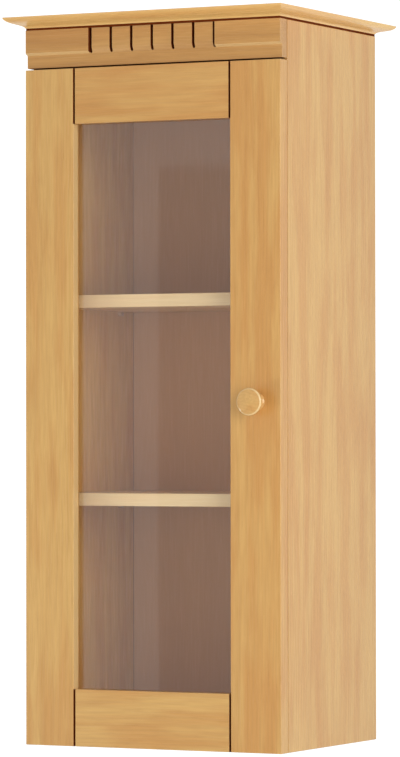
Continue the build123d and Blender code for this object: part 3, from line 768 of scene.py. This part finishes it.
def planted(points, instance):
    """A rod at each point, turned to hang the way that its point says."""
    tree = points.tree
    way = out(tree, "GeometryNodeInputNamedAttribute", {"Name": "pointing"}, data_type="FLOAT_VECTOR")
    upward = {"Vector": way.vector("MULTIPLY", (-1, -1, -1))}
    turn = out(tree, "FunctionNodeAlignRotationToVector", upward, axis="Z")
    inputs = {"Points": points, "Instance": instance, "Rotation": turn}
    return out(tree, "GeometryNodeInstanceOnPoints", inputs)


def moved(geometry, x=0.0, y=0.0, z=0.0, rotation=(0, 0, 0)):
    """The geometry, turned and then moved."""
    inputs = {"Geometry": geometry, "Translation": joined(geometry.tree, x, y, z), "Rotation": rotation}
    return out(geometry.tree, "GeometryNodeTransform", inputs)


def block(tree, x, y, z):
    """A block around the origin."""
    return out(tree, "GeometryNodeMeshCube", {"Size": joined(tree, x, y, z)})


def combined(operation, base, others):
    """A boolean of meshes."""
    inputs = {1: others} if base is None else {0: base, 1: others}
    return out(others[0].tree, "GeometryNodeMeshBoolean", inputs, operation=operation, solver="EXACT")


def screw_tree():
    """Countersunk wood screws: head with a cross recess, plain shank, core and thread."""
    tree, given = shape_tree("Wood screws", {
        "Head": 0.0038, "Shank": 0.002, "Length": 0.03, "Thread pitch": 0.0013, "Recess width": 0.0008,
        "Recess depth": 0.001,
    })
    head, shank, tip = given["Head"], given["Shank"], -given["Length"]
    core = shank * 0.7
    plain = tip * 0.36
    taper = shank * 3.0 + tip
    body = rod([
        (0.0, head * 0.95), (head * -0.05, head), (shank - head, shank), (plain, shank),
        (plain - 0.0003, core), (taper, core), (tip, shank * 0.08),
    ], ring(tree, 24))
    arm = block(tree, given["Recess width"], head, given["Recess depth"] * 2.0)
    body = combined("DIFFERENCE", body, [arm, moved(arm, rotation=(0, 0, math.pi / 2))])
    threaded = plain - taper
    spiral = out(tree, "GeometryNodeCurveSpiral", {
        "Resolution": 14, "Rotations": threaded / given["Thread pitch"], "Start Radius": core,
        "End Radius": core, "Height": threaded,
    })
    thread = out(tree, "GeometryNodeCurveToMesh", {
        "Curve": moved(spiral, z=taper), "Profile Curve": ring(tree, 4), "Scale": (shank - core) * 0.98,
        "Fill Caps": True,
    })
    whole = out(tree, "GeometryNodeJoinGeometry", {0: [body, thread]})
    return finish_tree(planted(given["Geometry"], whole), given["Material"])


def brad_tree():
    """Brads: a small flat head, a thin shank and a point."""
    tree, given = shape_tree("Brads", {
        "Head": 0.001, "Shank": 0.0006, "Length": 0.015, "Head height": 0.0005,
    })
    head, shank, low, tip = given["Head"], given["Shank"], -given["Head height"], -given["Length"]
    body = rod([
        (0.0, head * 0.85), (low * 0.3, head), (low, head), (low * 1.2, shank), (shank * 2.5 + tip, shank),
        (tip, shank * 0.1),
    ], ring(tree, 16))
    return finish_tree(planted(given["Geometry"], body), given["Material"])


def dowel_tree():
    """Dowels: a fluted bar with chamfered ends."""
    tree, given = shape_tree("Dowels", {
        "Head": 0.004, "Length": 0.032, "Chamfer": 0.001, "Flutes": 20, "Flute depth": 0.00028,
    })
    radius, chamfer, tip = given["Head"], given["Chamfer"], -given["Length"]
    turn = out(tree, "GeometryNodeSplineParameter", socket="Factor")
    dip = (turn * given["Flutes"] * math.tau).maths("COSINE") * 0.5 + 0.5
    inward = out(tree, "ShaderNodeVectorMath", {
        0: out(tree, "GeometryNodeInputPosition"), "Scale": -(dip * (given["Flute depth"] / radius)),
    }, operation="SCALE")
    section = {"Geometry": ring(tree, given["Flutes"] * 6.0), "Offset": inward}
    end = radius - chamfer
    body = rod([
        (0.0, end), (-chamfer, radius), (tip + chamfer, radius), (tip, end),
    ], out(tree, "GeometryNodeSetPosition", section))
    return finish_tree(planted(given["Geometry"], body), given["Material"])


def pin_tree():
    """Shelf pins: a round rest cut flat on top, and a peg."""
    tree, given = shape_tree("Shelf pins", {
        "Head": 0.004, "Shank": 0.0025, "Length": 0.015, "Rest length": 0.007, "Rounding": 0.0005,
        "Seat": 0.0,
    })
    rest, rounding, step, tip = given["Head"], given["Rounding"], -given["Rest length"], -given["Length"]
    peg = given["Shank"] * 0.99
    body = rod([
        (0.0, rest - rounding), (-rounding, rest), (step, rest), (step - 0.00001, peg), (tip + rounding, peg),
        (tip, peg - rounding),
    ], ring(tree, 32))
    thick = 0.02
    above = moved(block(tree, 1.0, 1.0, thick), z=given["Seat"] + thick / 2)
    placed = real_copies(planted(given["Geometry"], body))
    return finish_tree(combined("DIFFERENCE", placed, [above]), given["Material"])


def fascia_tree():
    """Cuts the flutes and the end rebates out of the fascia."""
    tree, given = shape_tree("Flutes and rebates", {
        "Flutes": 7, "Pitch": 0.0324, "Width": 0.004, "Depth": 0.008, "Length": 0.035, "Face": -0.3407,
        "Top": 0.053, "Half width": 0.2, "Rebate width": 0.004, "Rebate depth": 0.0022, "Back": -0.32,
    })
    margin, taller_than_board = 0.01, 0.4
    radius = given["Width"] * 0.5
    reach = given["Depth"] + margin
    deep = given["Face"] + (reach * -0.5 + given["Depth"])
    end = given["Top"] - given["Length"] + radius
    tall = given["Top"] - end + margin
    slot = moved(block(tree, given["Width"], reach, tall), 0.0, deep, tall * 0.5 + end)
    nose = out(tree, "GeometryNodeMeshCylinder", {"Vertices": 24, "Radius": radius, "Depth": reach})
    nose = moved(nose, 0.0, deep, end, rotation=(math.pi / 2, 0, 0))
    first = (given["Flutes"] - 1.0) * given["Pitch"] * -0.5
    line = out(tree, "GeometryNodeMeshLine", {
        "Count": given["Flutes"], "Start Location": joined(tree, first),
        "Offset": joined(tree, given["Pitch"]),
    }, mode="OFFSET")
    flutes = {"Points": line, "Instance": combined("UNION", None, [slot, nose])}
    flutes = real_copies(out(tree, "GeometryNodeInstanceOnPoints", flutes))
    rebate = block(tree, given["Rebate width"] * 2.0, given["Rebate depth"] * 2.0, taller_than_board)
    ends = [moved(rebate, given["Half width"] * side, given["Back"]) for side in (-1.0, 1.0)]
    return finish_tree(combined("DIFFERENCE", given["Geometry"], [flutes, *ends]), given["Material"])


def rods(node):
    """The separate rods of a node: the middle of the wide end, the way to the narrow end and the sizes."""
    work = bmesh.new()
    work.from_mesh(frame["nodes"][node].data)
    bmesh.ops.remove_doubles(work, verts=work.verts, dist=SAME_POINT)
    found = []
    left = set(work.verts)
    while left:
        island = [left.pop()]
        for vertex in island:
            for edge in vertex.link_edges:
                other = edge.other_vert(vertex)
                if other in left:
                    left.remove(other)
                    island.append(other)
        points = [vertex.co.copy() for vertex in island]
        low = Vector([min(point[axis] for point in points) for axis in range(3)])
        high = Vector([max(point[axis] for point in points) for axis in range(3)])
        axis = max(range(3), key=lambda number: high[number] - low[number])
        halves = []
        for side in (-1, 1):
            half = [point for point in points if side * (2 * point[axis] - low[axis] - high[axis]) > 0]
            spans = [(min(p[number] for p in half), max(p[number] for p in half)) for number in range(3)]
            radius = max(top - bottom for number, (bottom, top) in enumerate(spans) if number != axis) / 2
            halves.append((radius, side, [(top + bottom) / 2 for bottom, top in spans]))
        narrow, wide = sorted(halves)
        place = list(narrow[2])
        place[axis] = (high if wide[1] > 0 else low)[axis]
        pointing = [narrow[1] if number == axis else 0 for number in range(3)]
        found.append({
            "place": place, "pointing": pointing, "Length": high[axis] - low[axis], "Head": wide[0],
            "Shank": narrow[0],
        })
    work.free()
    return sorted(found, key=lambda one: one["place"])


def plant(node, tree, values, smooth_below=40):
    """Makes all the rods of a node with a tree."""
    found = rods(node)
    points = bpy.data.meshes.new(node + "_places")
    points.from_pydata([one["place"] for one in found], [], [])
    layer = points.attributes.new("pointing", "FLOAT_VECTOR", "POINT")
    layer.data.foreach_set("vector", [value for one in found for value in one["pointing"]])
    material = material_of(node)
    work = grown(node + "_places", points, tree, {**found[0], **values, "Material": material})
    stand_for(add_piece(node + "_set", work, material, smooth_below), node)


class CABINET_OT_boards(bpy.types.Operator):
    """Make all the boards, with rounded arrises, painted shade in joint lines and corners, painted light on one
    inner edge, and their own grain
    """

    bl_idname = "cabinet.boards"
    bl_label = "Boards"

    def execute(self, context):
        sizes = context.scene.cabinet_sizes
        for node in BOARDS:
            work = merged(node)
            round_edges(work, sizes.arris, sizes.longest_plain_edge)
            if node.startswith("door"):
                shade_joint_lines(work, node)
            # Painted light: the left stile's inner edge is made paler, as if lit more from the right.
            if node == "door_left_stile":
                paint_light(work, sizes.inner_edge_light, lambda at, facing: facing.x > 0.9)
            if node in ("left_side_panel", "right_side_panel"):
                shade_inner_corner(work, node)
            # Painted shade: the whole crown spacer is dark, standing for the shadow line under the crown.
            if node == "crown_spacer":
                stain(work, lambda at, facing: True)
            stand_for(add_piece(node + "_board", work, material_of(node)), node)
        return {"FINISHED"}


def section_mesh(name, stations, front, foot):
    """A closed board through sections along X, each a list of (depth behind the front, height)."""
    work = bmesh.new()
    rings = [
        [work.verts.new((x, front + depth, foot + up)) for depth, up in section] for x, section in stations
    ]
    for first, second in zip(rings, rings[1:]):
        for number in range(len(first)):
            after = (number + 1) % len(first)
            work.faces.new((first[number], first[after], second[after], second[number]))
    work.faces.new(rings[0])
    work.faces.new(rings[-1])
    welded(work)
    mesh = bpy.data.meshes.new(name)
    work.to_mesh(mesh)
    work.free()
    return mesh


class CABINET_OT_fascia(bpy.types.Operator):
    """Make the fascia, with raised ends, a fluted middle and a set-back band"""

    bl_idname = "cabinet.fascia"
    bl_label = "Fascia"

    def execute(self, context):
        sizes = context.scene.cabinet_fascia
        low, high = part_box("fascia_board")
        depth, tall = high.y - low.y, high.z - low.z
        recess = sizes.middle_recess
        under = [(depth, 0), (sizes.band_recess, 0), (sizes.band_recess, sizes.band)]
        raised = under + [(0, sizes.band + sizes.bevel), (0, tall), (recess, tall), (depth, tall)]
        middle = under + [(recess, sizes.band + sizes.ramp), (recess, tall), (recess, tall), (depth, tall)]
        half = (sizes.flutes - 1) / 2 * sizes.pitch + sizes.flute_width / 2
        stations = [
            (low.x, raised), (-half, raised), (-half, middle),
            (half, middle), (half, raised), (high.x, raised),
        ]
        face = low.y + recess
        material = material_of("fascia_board")
        work = grown("fascia_blank", section_mesh("fascia_blank", stations, low.y, low.z), fascia_tree(), {
            "Flutes": sizes.flutes, "Pitch": sizes.pitch, "Width": sizes.flute_width,
            "Depth": sizes.flute_depth, "Length": sizes.flute_length, "Face": face, "Top": high.z,
            "Half width": high.x, "Back": high.y, "Rebate width": sizes.rebate_width,
            "Rebate depth": sizes.rebate_depth, "Material": material,
        })
        bmesh.ops.dissolve_limit(work, angle_limit=FLAT, verts=work.verts, edges=work.edges)
        round_edges(work, context.scene.cabinet_sizes.arris, context.scene.cabinet_sizes.longest_plain_edge)
        floor = face + sizes.flute_depth + MARGIN
        end, top = high.z - sizes.flute_length - MARGIN, high.z - 10 * MARGIN

        def in_flute(at, facing):
            """Whether a face is a wall or the floor of a flute."""
            inside = abs(at.x) < half + MARGIN and face + MARGIN < at.y < floor and end < at.z < top
            return inside and (abs(facing.y) < 0.1 or at.y > floor - 2 * MARGIN)

        def on_bevel(at, facing):
            """Whether a face is on the bevel under an end block."""
            return abs(at.x) > half and facing.y < -0.2 and facing.z < -0.3

        # Painted shade on the fascia's underside and in its flutes.
        stain(work, lambda at, facing: facing.z < -0.9 and at.z < low.z + MARGIN)
        stain(work, in_flute)
        # Painted highlight on the bevels under the end blocks.
        paint_light(work, sizes.bevel_highlight, on_bevel)
        stand_for(add_piece("fluted_fascia", work, material), "fascia_board")
        return {"FINISHED"}


class CABINET_OT_knob(bpy.types.Operator):
    """Make the turned knob"""

    bl_idname = "cabinet.knob"
    bl_label = "Knob"

    def execute(self, context):
        knob = context.scene.cabinet_knob
        low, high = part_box("knob")
        radius, tall = (high.x - low.x) / 2, high.y - low.y
        flat = radius - knob.rim
        section = [(0, knob.bore), (knob.bore_radius, knob.bore), (knob.bore_radius, 0)]
        ease, waist_steps, rim_steps, front_steps = 0.0003, 24, 12, 14
        section += [(knob.foot_radius - ease, 0), (knob.foot_radius, ease), (knob.foot_radius, knob.foot)]
        below = (knob.waist - knob.foot) / (knob.disc - knob.foot)
        for step in range(1, waist_steps + 1):
            along = step / waist_steps
            if along < below:
                wider = (knob.foot_radius - knob.waist_radius) * (1 - along / below) ** 2
            else:
                wider = (flat - knob.waist_radius) * ((along - below) / (1 - below)) ** 2
            section.append((knob.waist_radius + wider, knob.foot + (knob.disc - knob.foot) * along))
        for start, centre in ((-90, knob.disc + knob.rim), (0, knob.front - knob.rim)):
            for step in range(1, rim_steps + 1):
                angle = math.radians(start + 90 / rim_steps * step)
                section.append((flat + knob.rim * math.cos(angle), centre + knob.rim * math.sin(angle)))
        for step in range(1, front_steps + 1):
            left = 1 - step / front_steps
            section.append((flat * left, knob.front + (tall - knob.front) * (1 - left ** 2)))
        work = bmesh.new()
        x, z = (low.x + high.x) / 2, (low.z + high.z) / 2
        line = [work.verts.new((x + reach, high.y - up, z)) for reach, up in section]
        edges = [work.edges.new(pair) for pair in zip(line, line[1:])]
        bmesh.ops.spin(
            work, geom=[*line, *edges], cent=(x, high.y, z), axis=(0, 1, 0), angle=math.tau, steps=knob.around
        )
        welded(work)
        back = high.y - knob.disc
        # Painted highlight on the disc's rounded rim.
        paint_light(work, knob.rim_highlight, lambda at, facing: 0.3 < -facing.y < 0.92 and at.y < back)
        stand_for(add_piece("turned_knob", work, material_of("knob"), 35), "knob")
        return {"FINISHED"}


class CABINET_OT_glass(bpy.types.Operator):
    """Make the glass pane with ground edges"""

    bl_idname = "cabinet.glass"
    bl_label = "Glass"

    def execute(self, context):
        sizes = context.scene.cabinet_sizes
        work = merged("glass_pane")
        round_edges(work, sizes.glass_arris, sizes.longest_plain_edge)
        stand_for(add_piece("glass_sheet", work, clear_glass()), "glass_pane")
        return {"FINISHED"}


class CABINET_OT_screws(bpy.types.Operator):
    """Make the countersunk screws"""

    bl_idname = "cabinet.screws"
    bl_label = "Screws"

    def execute(self, context):
        sizes = context.scene.cabinet_sizes
        tree = screw_tree()
        for node in SCREWS:
            plant(node, tree, {
                "Thread pitch": sizes.thread_pitch, "Recess width": sizes.recess_width,
                "Recess depth": sizes.recess_depth,
            })
        return {"FINISHED"}


class CABINET_OT_dowels(bpy.types.Operator):
    """Make the fluted dowels"""

    bl_idname = "cabinet.dowels"
    bl_label = "Dowels"

    def execute(self, context):
        sizes = context.scene.cabinet_sizes
        tree = dowel_tree()
        for node in DOWELS:
            plant(node, tree, {
                "Chamfer": sizes.dowel_chamfer, "Flutes": sizes.dowel_flutes,
                "Flute depth": sizes.dowel_flute,
            })
        return {"FINISHED"}


class CABINET_OT_brads(bpy.types.Operator):
    """Make the brads of the glazing beads"""

    bl_idname = "cabinet.brads"
    bl_label = "Brads"

    def execute(self, context):
        plant("bead_brads", brad_tree(), {"Head height": context.scene.cabinet_sizes.brad_head})
        return {"FINISHED"}


class CABINET_OT_shelf_pins(bpy.types.Operator):
    """Make the pins that the shelves rest on"""

    bl_idname = "cabinet.shelf_pins"
    bl_label = "Shelf pins"

    def execute(self, context):
        sizes = context.scene.cabinet_sizes
        tree = pin_tree()
        for node in SHELF_PINS:
            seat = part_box(node)[1].z
            plant(node, tree, {
                "Rest length": sizes.rest_length, "Rounding": sizes.pin_rounding, "Seat": seat,
            })
        return {"FINISHED"}


class CABINET_OT_fittings(bpy.types.Operator):
    """Make hinges, catch, strike plate, knob screw and bumpers"""

    bl_idname = "cabinet.fittings"
    bl_label = "Fittings"

    def execute(self, context):
        sizes = context.scene.cabinet_sizes
        for node in FITTINGS:
            work = merged(node)
            round_edges(work, sizes.metal_arris, 4 * sizes.metal_arris)
            stand_for(add_piece(node + "_fitting", work, material_of(node)), node)
        return {"FINISHED"}


def studio_world(studio):
    """A white surround that lights the cabinet evenly, with a darker part in reflections."""
    world = bpy.data.worlds.new("Studio")
    world.use_nodes = True
    tree = world.node_tree
    tree.nodes.clear()
    white = (1, 1, 1, 1)
    light = out(tree, "ShaderNodeBackground", {"Color": white, "Strength": studio.dome})
    way = outputs(tree, "ShaderNodeSeparateXYZ", {0: out(tree, "ShaderNodeTexCoord", socket="Generated")})
    ahead = (-way["Y"]).maths("MAXIMUM", 0.001)
    right = eased_step(way["X"] / ahead, *DARKER_LEFT)
    low = -eased_step(way["Z"] / ahead, *DARKER_TOP) + 1.0
    shaded = right * low * ahead.maths("GREATER_THAN", 0.0015)
    ray = outputs(tree, "ShaderNodeLightPath")
    level = shaded * (-studio.wall_shade * studio.reflection) + studio.reflection
    level = level.maths("MAXIMUM", ray["Is Camera Ray"])
    shown = out(tree, "ShaderNodeBackground", {"Color": white, "Strength": level})
    seen = ray["Is Camera Ray"].maths("MAXIMUM", ray["Is Glossy Ray"])
    seen = seen.maths("MAXIMUM", ray["Is Transmission Ray"])
    put(tree, "ShaderNodeOutputWorld", {"Surface": mixed_shaders(seen, light, shown)})
    bpy.context.scene.world = world


def studio_floor(level):
    """A pale round floor that fades into the white surround and keeps the cabinet's shadow."""
    work = bmesh.new()
    lowered = Matrix.Translation((0, 0, level))
    bmesh.ops.create_circle(work, cap_ends=True, segments=64, radius=3.0, matrix=lowered)
    material, shader, place = new_material("studio_floor")
    feed(shader, {"Base Color": (0.90, 0.90, 0.90, 1), "Roughness": 0.8})
    distance = place.vector("MULTIPLY", (1, 1, 0)).vector("LENGTH", socket="Value")
    white = out(place.tree, "ShaderNodeEmission", {"Color": (1, 1, 1, 1), "Strength": 1.0})
    show(mixed_shaders(eased_step(distance, 1.2, 2.9), Value(place.tree, shader.outputs[0]), white))
    floor = add_piece("studio_floor", work, material)


def lamp(name, target, heading, elevation, distance, size, power, mirrored):
    """A square area lamp that points at a target. The heading turns from the front to the right."""
    level = math.cos(elevation)
    place = Vector(target) + distance * Vector(
        (math.sin(heading) * level, -math.cos(heading) * level, math.sin(elevation))
    )
    data = bpy.data.lights.new(name, "AREA")
    data.size = size
    data.energy = power
    made = new_object(name, data)
    made.location = place
    made.rotation_euler = (Vector(target) - place).to_track_quat("-Z", "Y").to_euler()
    made.visible_camera = False
    made.visible_glossy = mirrored


def camera(studio):
    """The camera at the photo's place and angle."""
    data = bpy.data.cameras.new("Camera")
    data.lens = studio.lens
    data.sensor_width = 36.0
    data.clip_end = 100.0
    made = new_object("Camera", data)
    across = math.cos(studio.pitch)
    ahead = Vector((-math.sin(studio.yaw) * across, math.cos(studio.yaw) * across, math.sin(studio.pitch)))
    right = ahead.cross(Vector((0, 0, 1))).normalized()
    up = right.cross(ahead)
    level = Matrix((right, up, -ahead)).transposed().to_4x4()
    made.matrix_world = Matrix.Translation(studio.eye) @ level @ Matrix.Rotation(studio.roll, 4, "Z")
    bpy.context.scene.camera = made


class CABINET_OT_stage(bpy.types.Operator):
    """Make the camera, the lamps, the white surround and the floor"""

    bl_idname = "cabinet.stage"
    bl_label = "Stage"

    def execute(self, context):
        studio = context.scene.cabinet_studio
        foot = cad_bounds[0].z
        middle = (cad_bounds[0] + cad_bounds[1]) / 2
        studio_world(studio)
        studio_floor(foot - studio.floor)
        lamp("Front lamp", middle, math.radians(18), math.radians(-8), 3.4, 1.6, studio.front_lamp, False)
        lamp("Left lamp", middle, math.radians(-52), math.radians(-24), 2.6, 0.8, studio.left_lamp, True)
        lamp("Right lamp", middle, math.radians(57), math.radians(6), 2.6, 1.6, studio.right_lamp, True)
        camera(studio)
        context.scene.view_settings.view_transform = "Standard"
        return {"FINISHED"}


OPERATORS = [
    CABINET_OT_boards, CABINET_OT_fascia, CABINET_OT_knob, CABINET_OT_glass, CABINET_OT_screws,
    CABINET_OT_dowels, CABINET_OT_brads, CABINET_OT_shelf_pins, CABINET_OT_fittings, CABINET_OT_stage,
]
GROUPS = {
    "cabinet_sizes": CABINET_PG_sizes,
    "cabinet_fascia": CABINET_PG_fascia,
    "cabinet_knob": CABINET_PG_knob,
    "cabinet_wood": CABINET_PG_wood,
    "cabinet_studio": CABINET_PG_studio,
}


class CABINET_PT_panel(bpy.types.Panel):
    """Settings and steps of the wall cabinet"""

    bl_idname = "CABINET_PT_panel"
    bl_label = "Wall cabinet"
    bl_space_type = "VIEW_3D"
    bl_region_type = "UI"
    bl_category = "Cabinet"

    def draw(self, context):
        for name, group in GROUPS.items():
            box = self.layout.box()
            for setting in group.__annotations__:
                box.prop(getattr(context.scene, name), setting)
        for operator in OPERATORS:
            self.layout.operator(operator.bl_idname)


def register():
    """Registers the settings, the steps and the panel."""
    for group in GROUPS.values():
        bpy.utils.register_class(group)
    for name, group in GROUPS.items():
        setattr(bpy.types.Scene, name, bpy.props.PointerProperty(type=group))
    for made in [*OPERATORS, CABINET_PT_panel]:
        bpy.utils.register_class(made)


def unregister():
    """Takes them away again, the last first."""
    for made in reversed([*OPERATORS, CABINET_PT_panel]):
        bpy.utils.unregister_class(made)
    for name in GROUPS:
        delattr(bpy.types.Scene, name)
    for group in reversed(list(GROUPS.values())):
        bpy.utils.unregister_class(group)


def main():
    """Makes the whole scene."""
    register()
    bpy.ops.cabinet.boards()
    bpy.ops.cabinet.fascia()
    bpy.ops.cabinet.knob()
    bpy.ops.cabinet.glass()
    bpy.ops.cabinet.screws()
    bpy.ops.cabinet.dowels()
    bpy.ops.cabinet.brads()
    bpy.ops.cabinet.shelf_pins()
    bpy.ops.cabinet.fittings()
    bpy.ops.cabinet.stage()
    bpy.context.view_layer.update()


if __name__ == "__main__":
    main()
